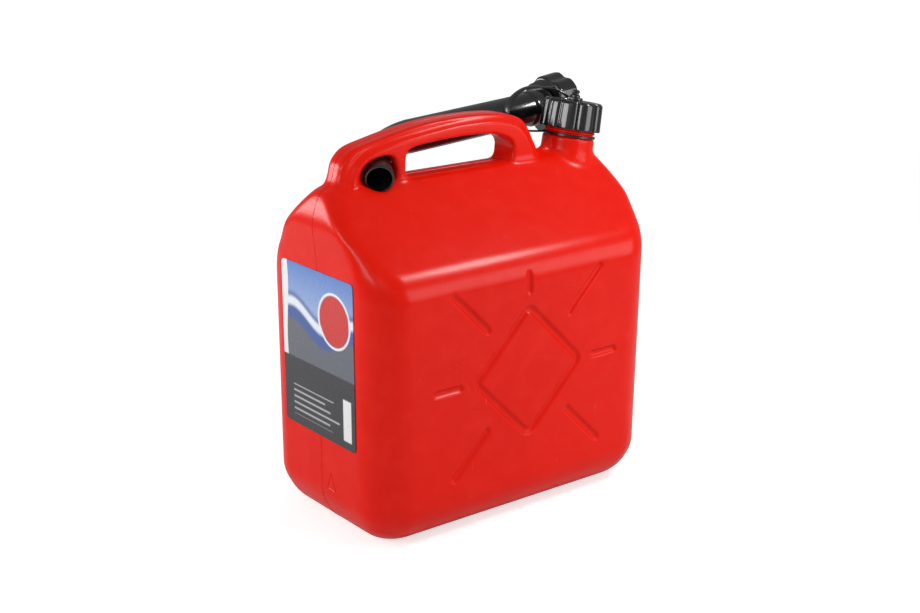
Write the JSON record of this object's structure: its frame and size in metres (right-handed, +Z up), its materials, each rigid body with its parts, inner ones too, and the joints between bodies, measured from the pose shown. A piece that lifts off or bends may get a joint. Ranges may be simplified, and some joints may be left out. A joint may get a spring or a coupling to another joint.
{
  "type": "plastic fuel jerrycan",
  "caption": "Red blow-moulded plastic jerrycan with a top handle, a tethered black screw cap, and a bent black pouring spout with a union nut stowed through the handle.",
  "frame": {"origin": "middle of the whole length and width, at the surface the can stands on", "axes": "+X along the can towards its neck, -X out of the labelled end, +Z up"},
  "size_m": [0.3062, 0.169, 0.3413],
  "materials": {
    "red_polyethylene": "satin moulded polyethylene",
    "label_film": "printed film, satin",
    "black_polypropylene": "glossy moulded",
    "seal_foam": "soft foam disc",
    "black_strap": "glossy soft moulding",
    "spout_black": "glossy moulded",
    "nut_black": "glossy moulded",
    "spout_seal_rubber": "matte rubber"
  },
  "bodies": {
    "can": {"tank_body": "red_polyethylene", "end_label": "label_film", "cap_strap": "black_strap"},
    "seal": {"cap_seal": "seal_foam"},
    "cap": {"screw_cap": "black_polypropylene"},
    "spout": {"spout_tube": "spout_black", "spout_seal": "spout_seal_rubber"},
    "nut": {"spout_nut": "nut_black"}
  },
  "joints": [
    {"name": "cap_rise", "type": "slide", "parent": "can", "child": "seal", "axis": [0.1908, 0, 0.9816], "range_m": [0, 0.03], "deforming": ["cap_strap"]},
    {"name": "cap_turn", "type": "hinge", "parent": "seal", "child": "cap", "pos_m": [0.11007, 0, 0.2969], "axis": [0.1908, 0, 0.9816], "range_deg": [0, 1800]},
    {"name": "spout_draw", "type": "slide", "parent": "can", "child": "spout", "axis": [0.4851, 0.8403, 0.2419], "range_m": [0, 0.14]},
    {"name": "nut_spin", "type": "hinge", "parent": "spout", "child": "nut", "pos_m": [0.13426, 0.05654, 0.31437], "axis": [0.9936, 0.1053, 0.0402], "continuous": true}
  ],
  "couplings": [
    {"joint": "cap_rise", "follows": "cap_turn", "m_per_rad": 0.00095493}
  ]
}
